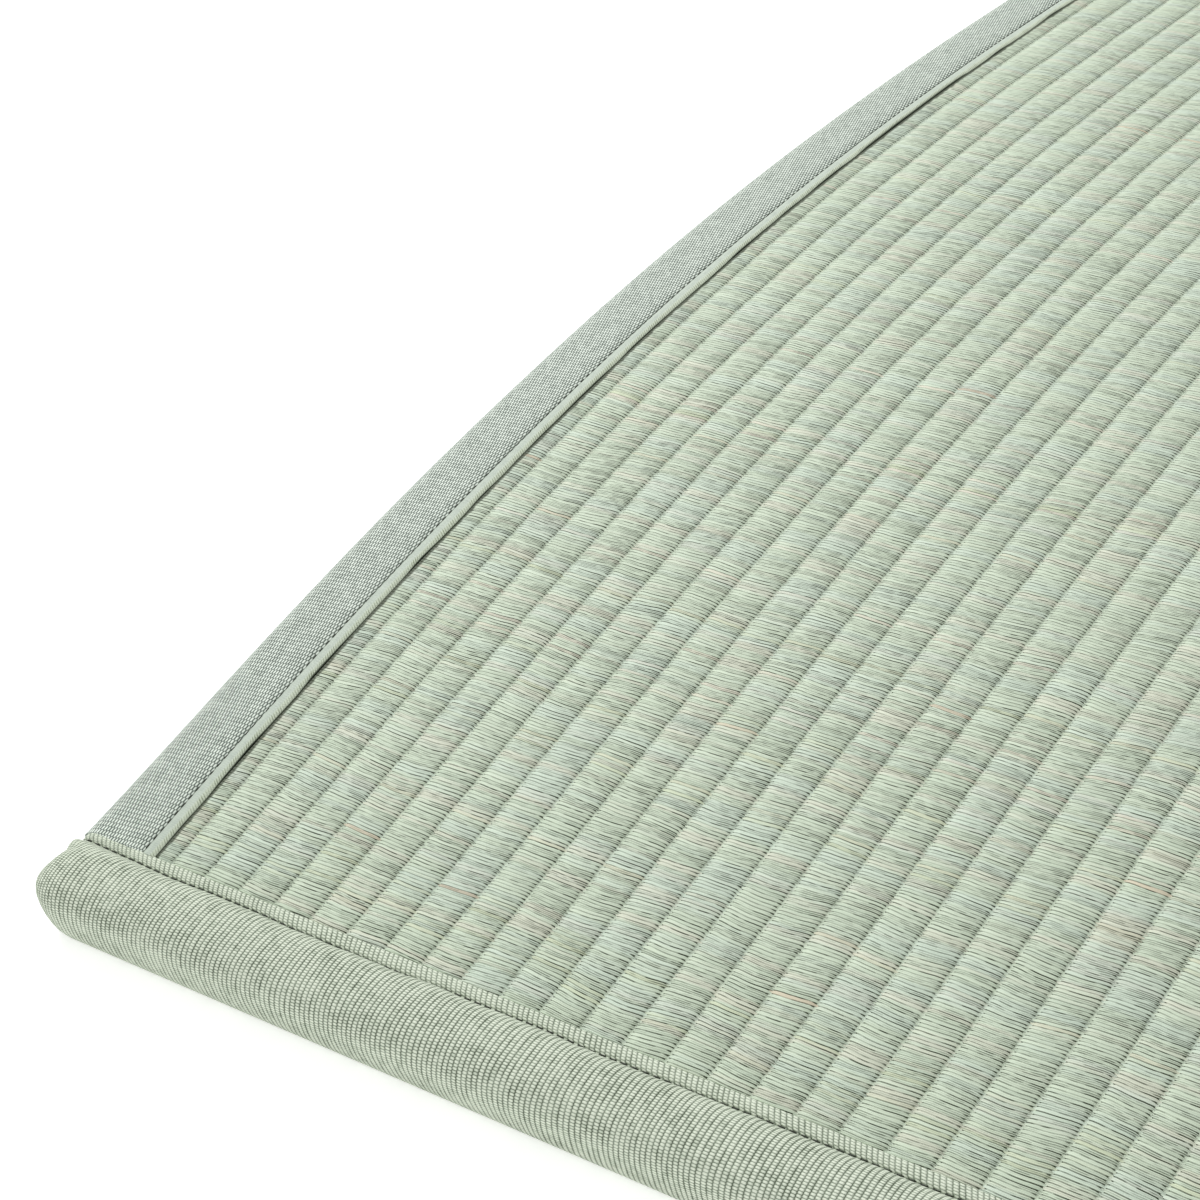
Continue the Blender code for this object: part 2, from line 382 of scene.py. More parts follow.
def rushMaterial():
    material, tree, shader = newMaterial("wovenRush", 0.55, 0.30)
    u, v = weaveCoordinates(tree)
    ribPlace = scaleAdd(tree, u, rush["ribSpan"], -rush["ribStart"])
    along = times(tree, v, rush["length"])

    # straws lie in pairs, spaced almost evenly; they drift from rib to rib and bow a little over each one
    driftCell = patternPlace(tree, ribPlace, along, rush["driftCells"])
    drift = centred(tree, softNoise(tree, driftCell), rush["drift"])
    bunchCell = patternPlace(tree, ribPlace, along, rush["bunchCells"])
    bunch = centred(tree, softNoise(tree, bunchCell), rush["bunch"])
    offCentre = scaleAdd(tree, calc(tree, "FRACT", ribPlace), 2.0, -1.0)
    bow = times(tree, times(tree, offCentre, offCentre), -rush["bow"])
    spaced = scaleAdd(tree, along, 1 / rush["pairPitch"], add(tree, drift, bunch))
    pairPlace = add(tree, spaced, bow)

    # pairs reach past the valley by turns, each by its own length, so that the valley is a fine zigzag
    valley = calc(tree, "FLOOR", add(tree, ribPlace, 0.5))
    valleyOdd = calc(tree, "PINGPONG", valley, 1.0)
    turnPlace = add(tree, pairPlace, scaleAdd(tree, valleyOdd, 0.5, -0.5))
    turn = calc(tree, "COSINE", times(tree, turnPlace, math.tau))
    tip = calc(tree, "FLOOR", scaleAdd(tree, turnPlace, 2.0, 0.5))
    reach = scaleAdd(tree, cellNoise(tree, pair(tree, tip, valley)), *rush["reach"])
    ribShifted = add(tree, times(tree, turn, reach), ribPlace)
    rib = calc(tree, "FLOOR", ribShifted)
    across = calc(tree, "FRACT", ribShifted)
    ribOdd = calc(tree, "PINGPONG", rib, 1.0)
    tiltCell = patternPlace(tree, rib, along, rush["tiltCells"], 20.0)
    tilt = centred(tree, softNoise(tree, tiltCell), rush["tilt"])
    pairs = add(tree, scaleAdd(tree, ribOdd, 0.5, pairPlace), times(tree, offCentre, tilt))
    pairTop = roundTop(tree, calc(tree, "FRACT", pairs), 2.6)
    straw = times(tree, pairs, 2.0)
    strawIndex = calc(tree, "FLOOR", straw)
    strawTop = roundTop(tree, calc(tree, "FRACT", straw), 2.2)

    # dark lines between straws, painted shade where they touch, each of its own depth, broken along the rib,
    # deeper between pairs, and stronger towards each rib's right-hand side, away from the light
    nearest = calc(tree, "FLOOR", add(tree, straw, 0.5))
    betweenPairs = calc(tree, "SUBTRACT", 1.0, calc(tree, "PINGPONG", nearest, 1.0))
    fromLine = calc(tree, "ABSOLUTE", calc(tree, "SUBTRACT", straw, nearest))
    lineRandom = cellNoise(tree, pair(tree, nearest, scaleAdd(tree, rib, 3.3, 0.5)))
    leastDepth = scaleAdd(tree, betweenPairs, rush["pairLine"], rush["leastLine"])
    lineDepth = scaleAdd(tree, calc(tree, "POWER", lineRandom, 1.8), rush["strawLine"], leastDepth)
    breakCell = patternPlace(tree, ribPlace, nearest, rush["breakCells"])
    broken = spread(tree, softNoise(tree, breakCell), *rush["lineBreaks"])
    toRight = spread(tree, across, *rush["lineToRight"])
    lineShape = spread(tree, fromLine, *rush["lineEdge"], 1.0, 0.0)
    lineShade = times(tree, times(tree, lineShape, lineDepth), times(tree, broken, toRight))

    # at both sides of a valley the gaps between pairs open into small dark notches, painted shade in the
    # gaps, and a thin line of painted shade runs along the valley
    nearestPair = calc(tree, "FLOOR", add(tree, pairs, 0.5))
    fromPair = calc(tree, "ABSOLUTE", calc(tree, "SUBTRACT", pairs, nearestPair))
    rightNotch = spread(tree, across, *rush["rightNotch"])
    leftNotch = spread(tree, across, *rush["leftNotch"])
    opening = calc(tree, "MAXIMUM", rightNotch, times(tree, leftNotch, rush["leftNotchShare"]))
    notchShape = calc(tree, "DIVIDE", fromPair, scaleAdd(tree, opening, rush["notchWidth"], 0.01))
    notchCell = pair(tree, scaleAdd(tree, rib, 1.9, 60.5), nearest)
    notchRandom = scaleAdd(tree, cellNoise(tree, notchCell), 0.65, 0.70)
    notch = times(tree, times(tree, spread(tree, notchShape, 1.0, 0.45), opening), notchRandom)
    valleyDistance = calc(tree, "MINIMUM", across, calc(tree, "SUBTRACT", 1.0, across))
    valleyShade = spread(tree, valleyDistance, *rush["valleyLine"])
    notch = calc(tree, "MINIMUM", calc(tree, "MAXIMUM", notch, valleyShade), 1.0)
    dark = calc(tree, "MAXIMUM", lineShade, notch)
    # painted shadow of the tapes' lips on the ribs beside them, with a ragged edge
    fromMiddle = calc(tree, "ABSOLUTE", add(tree, ribPlace, -mat["ribCount"] / 2))
    ragged = centred(tree, softNoise(tree, pair(tree, 4.5, times(tree, along, 0.55))), 0.05)
    lipStart, lipEnd = (mat["ribCount"] / 2 + past for past in rush["underLip"])
    underLip = spread(tree, add(tree, fromMiddle, ragged), lipStart, lipEnd, 0.0, 0.98)
    dark = calc(tree, "MAXIMUM", dark, underLip)

    # every pair has its own colour and every straw its own brightness; wider bands are warmer or
    # cooler, and a few straws are tan
    pairIndex = calc(tree, "FLOOR", pairs)
    tone = cellNoise(tree, pair(tree, pairIndex, scaleAdd(tree, ribOdd, 7.3, 1.7)))
    colour = ramp(tree, tone, (
        (0.00, rush["sage"]), (0.40, rush["pale"]), (0.70, rush["sage"]), (0.80, rush["greyGreen"]),
        (0.86, rush["sage"]), (0.95, rush["pale"]), (0.98, rush["yellowish"]), (1.00, rush["beige"])))
    warm = softNoise(tree, patternPlace(tree, rib, along, rush["warmCells"]), detail=2.0)
    colour = mixColour(tree, spread(tree, warm, *rush["warm"]), colour, rush["beige"])
    cool = softNoise(tree, patternPlace(tree, rib, along, rush["coolCells"], 31.0), detail=2.0)
    colour = mixColour(tree, spread(tree, cool, *rush["cool"]), colour, rush["bluish"])
    ribGroup = calc(tree, "FLOOR", times(tree, rib, 0.4))
    groupCell = pair(tree, scaleAdd(tree, ribOdd, 0.5, pairIndex), ribGroup)
    rare = spread(tree, cellNoise(tree, groupCell), *rush["rare"])
    colour = mixColour(tree, rare, colour, rush["tan"])
    bright = cellNoise(tree, pair(tree, strawIndex, add(tree, rib, 0.37)))
    fibre = softNoise(tree, patternPlace(tree, ribPlace, straw, rush["fibreCells"]), detail=1.0)
    light = add(tree, scaleAdd(tree, bright, 0.10, 0.98), scaleAdd(tree, fibre, 0.22, -0.06))
    colour = mixColour(tree, 1.0, colour, grey(tree, light), "MULTIPLY")
    # painted shade: each rib darker towards its right-hand valley, on the side away from the light
    rightShade = spread(tree, across, *rush["rightShade"])
    colour = mixColour(tree, 1.0, colour, grey(tree, rightShade), "MULTIPLY")
    # painted shade of the lines, notches, valleys and the tapes' lips, mixed towards the shadow colour
    colour = mixColour(tree, times(tree, dark, rush["gapDarkness"]), colour, rush["shadow"])
    tree.links.new(colour, shader.inputs["Base Color"])

    height = scaleAdd(tree, pairTop, rush["pairHeight"], times(tree, bright, 0.02))
    height = scaleAdd(tree, strawTop, rush["strawHeight"], height)
    height = add(tree, height, times(tree, dark, rush["gapHeight"]))
    height = scaleAdd(tree, fibre, 0.02, height)
    bumpInto(tree, shader, height, 1.0)
    return material


# distances of the rows of points in from a stitch line, close together at the ends
def bodyRows(close, apart):
    count = int(round((seamToMiddle - close[-1]) / apart))
    inwards = np.concatenate([close, np.linspace(close[-1], seamToMiddle, count + 1)[1:]])
    front = inwards - seamToMiddle
    return np.concatenate([front, -front[-2::-1]])


panel = {
    "columns": (0.0, 0.035, 0.10, 0.24, 0.50, 0.76, 0.90, 0.965),   # shares of a rib
    "ribDepth": 0.0009,
    "ribShape": 4.2,
    "tucked": 0.00185,           # how far down the face is under tapes and bindings
    "shownFrom": 0.0044,         # where it comes up beside a stitch line, over the next length
    "shownOver": 0.0005,
    "rowsAtEnd": (-0.0002, 0.0020, 0.0040, 0.0046, 0.0048, 0.0052, 0.0062, 0.0090, 0.0140),
    "rowSpacing": 0.0102,
    "valleyDrift": -0.0020,
    "driftReach": 0.035,
    "wobble": 0.00022,           # of the valleys, over the next length
    "wobbleLength": 0.024,
    "unevenness": 0.00013,       # of the ribs' height, over the next length
    "unevenLength": 0.020,
}


def valleyLines(along):
    ribs = np.arange(mat["ribCount"] + 1)
    straight = leftInner + mat["edgeRib"] + ribs * mat["ribPitch"]
    inwards = seamToMiddle - np.abs(along)[:, None]
    fade = (1 - np.exp(-(ribs + 0.6) / 0.9)) * (1 - np.exp(-(mat["ribCount"] - ribs + 0.6) / 0.9))
    drift = panel["valleyDrift"] * np.exp(-np.maximum(inwards, 0) / panel["driftReach"]) * fade
    wander = lineNoise(along[:, None] / panel["wobbleLength"], ribs[None, :] + 0.5)
    wobble = panel["wobble"] * wander * np.minimum(fade * 1.2, 1)
    return straight[None, :] + drift + wobble


# places across the face counted in ribs from the first valley, with the points' distances and levels
def ribbedFace(along):
    shares, count = np.array(panel["columns"]), mat["ribCount"]
    inner = (np.arange(count)[:, None] + shares[None, :]).ravel()
    place = np.concatenate([shares[shares >= 0.5] - 1, inner, shares[shares <= 0.5] + count])
    known = np.concatenate([[-0.5], np.arange(count + 1), [count + 0.5]])
    column = np.ones((len(along), 1))
    lines = np.hstack([column * leftInner, valleyLines(along), column * rightInner])
    across = np.stack([np.interp(place, known, row) for row in lines])
    rib = np.floor(place)
    off = np.abs(2 * (place - rib) - 1)
    ribLevel = lineNoise(rib * 0.731 + 5, 3.0) * 0.5
    level = ribLevel + lineNoise(along[:, None] / panel["unevenLength"], rib[None, :] + 200.5)
    up = -panel["ribDepth"] * off**panel["ribShape"] + panel["unevenness"] * level * (1 - off)
    return place, across, up


def makeRushPanel(material):
    print("rush panel")
    along = bodyRows(panel["rowsAtEnd"], panel["rowSpacing"])
    place, across, up = ribbedFace(along)
    inwards = (seamToMiddle - np.abs(along))[:, None]
    shown = smoothStep((inwards - panel["shownFrom"]) / panel["shownOver"])
    up = up * shown - panel["tucked"] * (1 - shown)
    count = len(along)

    # columns under the tape
    side = np.array((0.0020, 0.0060, mat["tapeWidth"] - 0.0004, mat["tapeWidth"] - 0.0001))
    sideUp = np.array((-0.0026, -panel["tucked"], -panel["tucked"], -0.0010))
    sidePlace = (side - mat["tapeWidth"]) / mat["ribPitch"] - 0.5
    rightPlace = mat["ribCount"] + 0.5 + (mat["tapeWidth"] - side[::-1]) / mat["ribPitch"]
    leftSide = np.tile(side - halfWidth, (count, 1))
    rightSide = np.tile(halfWidth - side[::-1], (count, 1))
    across = np.hstack([leftSide, across, rightSide])
    sideRows = np.minimum(np.tile(sideUp, (count, 1)), np.where(shown > 0.5, 0.0, -panel["tucked"]))
    up = np.hstack([sideRows, up, sideRows[:, ::-1]])
    place = np.concatenate([sidePlace, place, rightPlace])
    mapU = np.tile((place + rush["ribStart"]) / rush["ribSpan"], (count, 1)).clip(0, 1)
    mapV = ((along + seamToMiddle) / (2 * seamToMiddle)).clip(0, 1)
    top = addSheetGrid(
        "rushPanel",
        onArch(across, along[:, None], up),
        np.stack([mapU, np.tile(mapV[:, None], (1, mapU.shape[1]))], axis=-1),
    )

    # underside: a coarser sheet with the same rows
    below = np.concatenate([side - halfWidth, [-0.2, 0.0, 0.2], halfWidth - side[::-1]])
    flatUp = -mat["thickness"]
    lift = np.array((0.0024, 0.0017, 0.0017, 0.0))
    belowUp = flatUp + np.concatenate([lift, np.zeros(3), lift[::-1]])
    pressed = np.where(shown > 0.5, belowUp[None, :], np.maximum(belowUp[None, :], flatUp + 0.0018))
    belowPlace = (below - leftInner - mat["edgeRib"]) / mat["ribPitch"]
    belowU = np.tile((belowPlace + rush["ribStart"]) / rush["ribSpan"], (count, 1)).clip(0, 1)
    under = addSheetGrid(
        "underside",
        onArch(below[None, :], along[:, None], pressed),
        np.stack([belowU, np.tile(mapV[:, None], (1, len(below)))], axis=-1),
    )

    # joined, then closed along the sides and the ends
    columns, underColumns = across.shape[1], len(below)
    activate(top, under)
    bpy.ops.object.join()
    bm = bmesh.new()
    bm.from_mesh(top.data)
    bm.verts.ensure_lookup_table()
    uvLayer = bm.loops.layers.uv["weave"]
    ends = [vertex for vertex in bm.verts if vertex.is_boundary]
    points = {tuple(round(x, 7) for x in vertex.co): vertex for vertex in ends}

    def boundary(grid, row, column):
        return points[tuple(round(float(x), 7) for x in np.float32(grid[row, column]))]

    topGrid = onArch(across, along[:, None], up)
    underGrid = onArch(below[None, :], along[:, None], pressed)
    for column, underColumn in ((0, 0), (columns - 1, underColumns - 1)):
        for row in range(count - 1):
            bm.faces.new((
                boundary(topGrid, row, column), boundary(topGrid, row + 1, column),
                boundary(underGrid, row + 1, underColumn), boundary(underGrid, row, underColumn)))
    for row in (0, count - 1):
        ring = [boundary(topGrid, row, column) for column in range(columns)]
        ring += [boundary(underGrid, row, column) for column in reversed(range(underColumns))]
        bm.faces.new(ring)
    for face in bm.faces:
        if all(loop[uvLayer].uv.length < 1e-9 for loop in face.loops):
            for loop in face.loops:
                x, y = loop.vert.co.x, loop.vert.co.y
                loop[uvLayer].uv = ((x + halfWidth) / mat["width"], (y + halfSpan) / (2 * halfSpan))
    bm.to_mesh(top.data)
    bm.free()
    finishPiece(top, material, 75)
    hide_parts("rush_panel")
    return top


# tapes along the long edges
tape = {
    "thickness": 0.0014,
    "stitchIn": 0.0213,          # stitch line, from the mat's outer edge
    "dome": 0.00035,
    "grooveDepth": 0.00045,
    "lipRise": 0.00032,
    "rowSpacing": 0.0040,
    "rowsAtEnd": (0.0044, 0.0050, 0.0060, 0.0080, 0.0110),
    "spreadOut": 0.0012,         # wider beside the end bindings, over the next length
    "spreadReach": 0.022,
    "edgeWave": 0.00020,         # each wave with its length
    "edgeWaveLength": 0.09,
    "lipWave": 0.00040,
    "lipWaveLength": 0.010,
    "faceWave": 0.00008,
    "faceWaveLength": 0.05,
    "mapSpan": 0.070,            # what the weave map spans across the tape
    "mapStart": 0.004,
    "beadPitch": 0.90,           # mm, as the next three
    "rowPitch": 1.48,
    "ropePitch": 0.95,
    "twillPitch": 0.80,
    "cloudCells": (0.35, 0.30),  # per mm across and along
    "grey": (0.340, 0.395, 0.342),
    "greyHighlight": (0.745, 0.810, 0.730),
    "greyShade": (0.050, 0.070, 0.054),
    "lip": (0.474, 0.534, 0.458),
    "lipEdge": (0.490, 0.550, 0.430),
    "lipDark": (0.180, 0.215, 0.130),
    "grooveShade": (0.100, 0.122, 0.085),
}


# section of the tape from its inner edge, over the long edge, to the inner edge below,
# as distances in from the long edge and up from the face
def tapeSection():
    width, stitch, rounding = mat["tapeWidth"], tape["stitchIn"], mat["edgeRounding"]
    middle = -mat["thickness"] / 2
    halfHeight = mat["thickness"] / 2 + 0.0002
    flat = middle + halfHeight
    lip = [(width - 0.0001, flat - 0.0006), (width, flat - 0.0001), (width - 0.0004, flat + 0.0002),
           (width - 0.0014, flat + tape["lipRise"]), (stitch + 0.0016, flat + tape["lipRise"]),
           (stitch + 0.0007, flat + 0.0001), (stitch, flat - tape["grooveDepth"]),
           (stitch - 0.0006, flat - 0.0001),
           (stitch - 0.0016, flat + tape["dome"] * 0.7), (stitch - 0.0040, flat + tape["dome"]),
           (stitch - 0.0070, flat + tape["dome"] * 0.7)]
    angles = np.radians(np.arange(90, -91, -15))
    edge = [(rounding * (1 - math.cos(a)), middle + halfHeight * math.sin(a)) for a in angles]
    under = [(stitch, -mat["thickness"] - 0.0001), (width, -mat["thickness"] + 0.0001)]
    return np.array(lip + edge + under)


def tapeMaterial():
    material, tree, shader = newMaterial("sideTape", 0.62, 0.28)
    u, v = weaveCoordinates(tree)
    across = scaleAdd(tree, u, tape["mapSpan"] / millimetre, -tape["mapStart"] / millimetre)
    along = times(tree, v, rush["length"])
    lipWidth = (mat["tapeWidth"] - tape["stitchIn"]) / millimetre

    # short warp strokes along the tape, every second row half a stroke to the side; their tops are painted
    # lighter as highlight and the gaps between them darker as shade, with some tone that differs at random
    row = calc(tree, "DIVIDE", scaleAdd(tree, across, 0.12, along), tape["rowPitch"])
    rowIndex = calc(tree, "FLOOR", row)
    bead = calc(tree, "DIVIDE", across, tape["beadPitch"])
    bead = scaleAdd(tree, calc(tree, "PINGPONG", rowIndex, 1.0), 0.5, bead)
    random = cellNoise(tree, pair(tree, calc(tree, "FLOOR", bead), rowIndex))
    cloud = softNoise(tree, patternPlace(tree, across, along, tape["cloudCells"]), detail=2.0)
    rowTop = roundTop(tree, calc(tree, "FRACT", row), 4.0)
    top = times(tree, roundTop(tree, calc(tree, "FRACT", bead), 1.6), scaleAdd(tree, rowTop, 0.55, 0.45))
    tone = scaleAdd(tree, top, 0.90, scaleAdd(tree, random, 0.14, times(tree, cloud, 0.16)))
    colour = ramp(tree, tone, ((0.36, tape["greyShade"]), (0.66, tape["grey"]), (1.00, tape["greyHighlight"])))

    # lip beyond the stitches: plain and pale, with a greener twisted edge
    onLip = spread(tree, across, lipWidth + 0.1, lipWidth - 0.3)
    onEdge = spread(tree, across, 1.9, 0.9)
    rope = calc(tree, "DIVIDE", scaleAdd(tree, across, -0.65, along), tape["ropePitch"])
    ropeTop = roundTop(tree, calc(tree, "FRACT", rope), 2.0)
    ropeRandom = cellNoise(tree, pair(tree, calc(tree, "FLOOR", rope), 3.5))
    lipTone = scaleAdd(tree, ropeTop, 0.50, scaleAdd(tree, ropeRandom, 0.50, 0.10))
    edgeColour = ramp(tree, lipTone, ((0.10, tape["lipDark"]), (0.60, tape["lipEdge"])))
    twill = calc(tree, "FRACT", calc(tree, "DIVIDE", scaleAdd(tree, across, 0.9, along), tape["twillPitch"]))
    twillTop = times(tree, roundTop(tree, twill, 2.0), scaleAdd(tree, random, 0.5, 0.5))
    lipFine = scaleAdd(tree, twillTop, 0.55, times(tree, cloud, 0.40))
    lipColour = ramp(tree, lipFine, ((0.18, tape["grey"]), (0.62, tape["lip"])))
    lipColour = mixColour(tree, onEdge, lipColour, edgeColour)
    colour = mixColour(tree, onLip, colour, lipColour)
    # painted shade in the stitch groove, patchy along it
    fromStitch = calc(tree, "ABSOLUTE", add(tree, across, -lipWidth))
    patchy = softNoise(tree, pair(tree, 2.5, times(tree, along, 0.6)))
    nearStitch = spread(tree, fromStitch, 0.06, 0.36, 1.0, 0.0)
    grooveShade = times(tree, nearStitch, spread(tree, patchy, 0.35, 0.65, 0.25, 0.80))
    colour = mixColour(tree, grooveShade, colour, tape["grooveShade"])
    # painted shade on the lip's inner wall, where it drops to the rush
    edge = spread(tree, across, -0.05, -0.35, 0.0, 0.95)
    colour = mixColour(tree, edge, colour, tape["grooveShade"])
    tree.links.new(colour, shader.inputs["Base Color"])
    flatLip = scaleAdd(tree, onLip, -0.8, 1.0)
    height = times(tree, scaleAdd(tree, top, 0.16, times(tree, random, 0.03)), flatLip)
    height = scaleAdd(tree, times(tree, twillTop, onLip), 0.10, height)
    height = add(tree, height, times(tree, times(tree, ropeTop, onEdge), 0.22))
    bumpInto(tree, shader, height, 0.8)
    return material


def makeSideTape(name, side, node, material):
    print("side tape", name)
    section = tapeSection()
    along = bodyRows(tape["rowsAtEnd"], tape["rowSpacing"])
    reach = np.concatenate([[0], np.cumsum(np.linalg.norm(np.diff(section, axis=0), axis=1))])
    stitchSpot = int(np.argmin(np.abs(section[:9, 0] - tape["stitchIn"])))
    fromInner = reach - reach[stitchSpot] + mat["tapeWidth"] - tape["stitchIn"]
    inwards = (seamToMiddle - np.abs(along))[:, None]
    outerness = smoothStep((0.018 - section[:, 0]) / 0.018)[None, :]
    edgeWave = tape["edgeWave"] * lineNoise(along[:, None] / tape["edgeWaveLength"], 4.0 + side)
    wider = tape["spreadOut"] * np.exp(-np.maximum(inwards - 0.005, 0) / tape["spreadReach"])
    fromEdge = section[None, :, 0] + outerness * (edgeWave - wider + 0.0002)
    innermost = smoothStep((section[None, :, 0] - 0.024) / 0.002)
    lipWave = tape["lipWave"] * lineNoise(along[:, None] / tape["lipWaveLength"], 11.0 + side)
    fromEdge = fromEdge + (lipWave - 0.0003) * innermost
    faceWave = tape["faceWave"] * lineNoise(along[:, None] / tape["faceWaveLength"], 21.0 + side)
    up = section[None, :, 1] + faceWave
    up = np.broadcast_to(up, fromEdge.shape)
    points = onArch(side * (halfWidth - fromEdge), along[:, None], up)
    mapU = np.tile((fromInner + tape["mapStart"]) / tape["mapSpan"], (len(along), 1))
    mapV = np.tile(((along + seamToMiddle) / (2 * seamToMiddle))[:, None], (1, len(section)))
    piece = addSheetGrid(name, points, np.stack([mapU, mapV], axis=-1))
    faceOutwards(piece)
    outermost = max(piece.data.polygons, key=lambda face: side * face.center.x)
    if outermost.normal.x * side < 0:
        piece.data.flip_normals()
    wall = piece.modifiers.new("wall", "SOLIDIFY")
    wall.thickness = tape["thickness"]
    wall.offset = -1
    applyModifier(piece, wall)
    finishPiece(piece, material)
    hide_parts(node)
    return piece


# cloth rolls across the ends
binding = {
    "stations": 0.0022,          # spacing of the points along the roll
    "lipThickness": 0.0019,
    "lipProud": 0.0005,
    "seamDepth": 0.0004,
    "ribPitch": 1.527,           # mm
    "pickPitch": 0.80,           # mm
    "stitchPitch": 3.1,          # mm
    "drawnIn": 0.0013,           # how far the seam comes in beside the ends, over the next length
    "drawnReach": 0.030,
    "seamWander": 0.00034,
    "seamWanderLength": 0.015,
    "lipRipple": 0.00010,
    "lipRippleLength": 0.0026,
    "pucker": 0.00035,           # beside the seam, over the next length
    "puckerLength": 0.0042,
    "swell": 0.00035,            # of the roll, over the next length
    "swellLength": 0.061,
    "wanderCells": (0.05, 0.05),    # per mm across and round the roll
    "heatherCells": (0.55, 0.20),
    "cloudCells": (0.05, 0.10),
    "mapSpan": 0.110,            # what the weave map spans round the section
    "mapStart": 0.012,
    "light": (0.680, 0.735, 0.610),
    "sage": (0.405, 0.468, 0.365),
    "shade": (0.090, 0.112, 0.072),
    "grooveShade": (0.016, 0.021, 0.010),
}


def bindingSection():
    proud, under = binding["lipProud"], binding["lipProud"] - binding["lipThickness"]
    width = mat["lipWidth"]
    lip = [(-width, under), (-width - 0.0001, proud - 0.0007), (-width + 0.0001, proud - 0.0002),
           (-width + 0.0006, proud), (-width + 0.0020, proud + 0.0001), (-0.0016, proud + 0.0001),
           (-0.0009, proud), (-0.0006, proud - binding["seamDepth"] * 0.8),
           (-0.0004, proud - binding["seamDepth"]),
           (0.0, proud), (0.0004, proud + 0.0007)]
    angles = np.radians(np.linspace(roll["leavesSeam"], -roll["leavesSeam"], 53))
    outline = list(zip(*rollPoint(angles)))
    below = [(out, -mat["thickness"] - up) for out, up in reversed(lip)]
    slot = [(0.0004, -mat["thickness"] - under), (0.0004, under)]
    return np.array(lip + outline + below), np.array(slot + lip[:1])


def bindingMaterial():
    material, tree, shader = newMaterial("ribbedCloth", 0.80, 0.20)
    u, v = weaveCoordinates(tree)
    across = times(tree, u, mat["width"] / millimetre)
    around = scaleAdd(tree, v, binding["mapSpan"] / millimetre, -binding["mapStart"] / millimetre)
    onLip = spread(tree, around, -0.2, -0.7)

    # cords run round the roll, and lean on the lip where the sewing has pulled them
    wanderCell = patternPlace(tree, across, around, binding["wanderCells"])
    wander = centred(tree, softNoise(tree, wanderCell), 1.6)
    lean = times(tree, times(tree, onLip, around), -0.45)
    cord = calc(tree, "DIVIDE", add(tree, add(tree, across, wander), lean), binding["ribPitch"])
    cordIndex = calc(tree, "FLOOR", cord)
    cordTop = roundTop(tree, calc(tree, "FRACT", cord), 2.6)
    pick = calc(tree, "DIVIDE", around, binding["pickPitch"])
    pick = scaleAdd(tree, calc(tree, "PINGPONG", cordIndex, 1.0), 0.5, pick)
    pickTop = roundTop(tree, calc(tree, "FRACT", pick), 2.0)
    dot = times(tree, cordTop, scaleAdd(tree, pickTop, 0.95, 0.05))
    speck = cellNoise(tree, pair(tree, cordIndex, calc(tree, "FLOOR", pick)))
    heatherCell = patternPlace(tree, across, around, binding["heatherCells"])
    heather = softNoise(tree, heatherCell, detail=3.0)
    cloudCell = patternPlace(tree, across, around, binding["cloudCells"])
    cloud = softNoise(tree, cloudCell, detail=2.0)
    # cloth tone: the tops of the dots are painted light and the gaps between them painted shade, with
    # specks, heather and cloud as the cloth's own tone; the lip a little lighter
    tone = scaleAdd(tree, dot, scaleAdd(tree, speck, 0.40, 0.66), times(tree, heather, 0.42))
    tone = add(tree, tone, scaleAdd(tree, cloud, 0.20, scaleAdd(tree, onLip, 0.11, -0.17)))
    tones = ((0.12, binding["shade"]), (0.46, binding["sage"]), (0.86, binding["light"]))
    colour = ramp(tree, tone, tones)
    # painted shade in the seam's groove between lip and roll, broken into dashes along the stitches
    grooveShade = spread(tree, calc(tree, "ABSOLUTE", around), 0.20, 0.42, 0.97, 0.0)
    stitch = calc(tree, "FRACT", calc(tree, "DIVIDE", across, binding["stitchPitch"]))
    stitch = calc(tree, "ABSOLUTE", scaleAdd(tree, stitch, 2.0, -1.0))
    grooveShade = times(tree, grooveShade, spread(tree, stitch, 0.55, 0.75, 1.0, 0.05))
    colour = mixColour(tree, grooveShade, colour, binding["grooveShade"])
    tree.links.new(colour, shader.inputs["Base Color"])
    height = scaleAdd(tree, cordTop, 0.20, times(tree, dot, 0.20))
    height = scaleAdd(tree, heather, 0.04, height)
    bumpInto(tree, shader, height, 0.9)
    return material


# how far the seam lies out of its straight line at a place across the mat
def seamWave(across, side):
    beside = np.exp(-(halfWidth - np.abs(across)) / binding["drawnReach"])
    wander = binding["seamWander"] * lineNoise(across / binding["seamWanderLength"], 47.0 + side)
    return -binding["drawnIn"] * beside + wander - 0.0001


# share of their height that the roll and its lips have at a place across the mat
def closedShare(across):
    fromEnd = halfWidth - np.abs(across)
    left = np.clip(1 - fromEnd / roll["closing"], 0, 1)
    share = np.maximum(roll["tipShare"], (1 - left ** roll["fullness"]) ** (1 / roll["fullness"]))
    overEdge = np.clip(1 - fromEnd / roll["lipTipRounding"], 0, 1)
    return share, np.maximum(roll["lipTipShare"], np.sqrt(1 - overEdge**2))


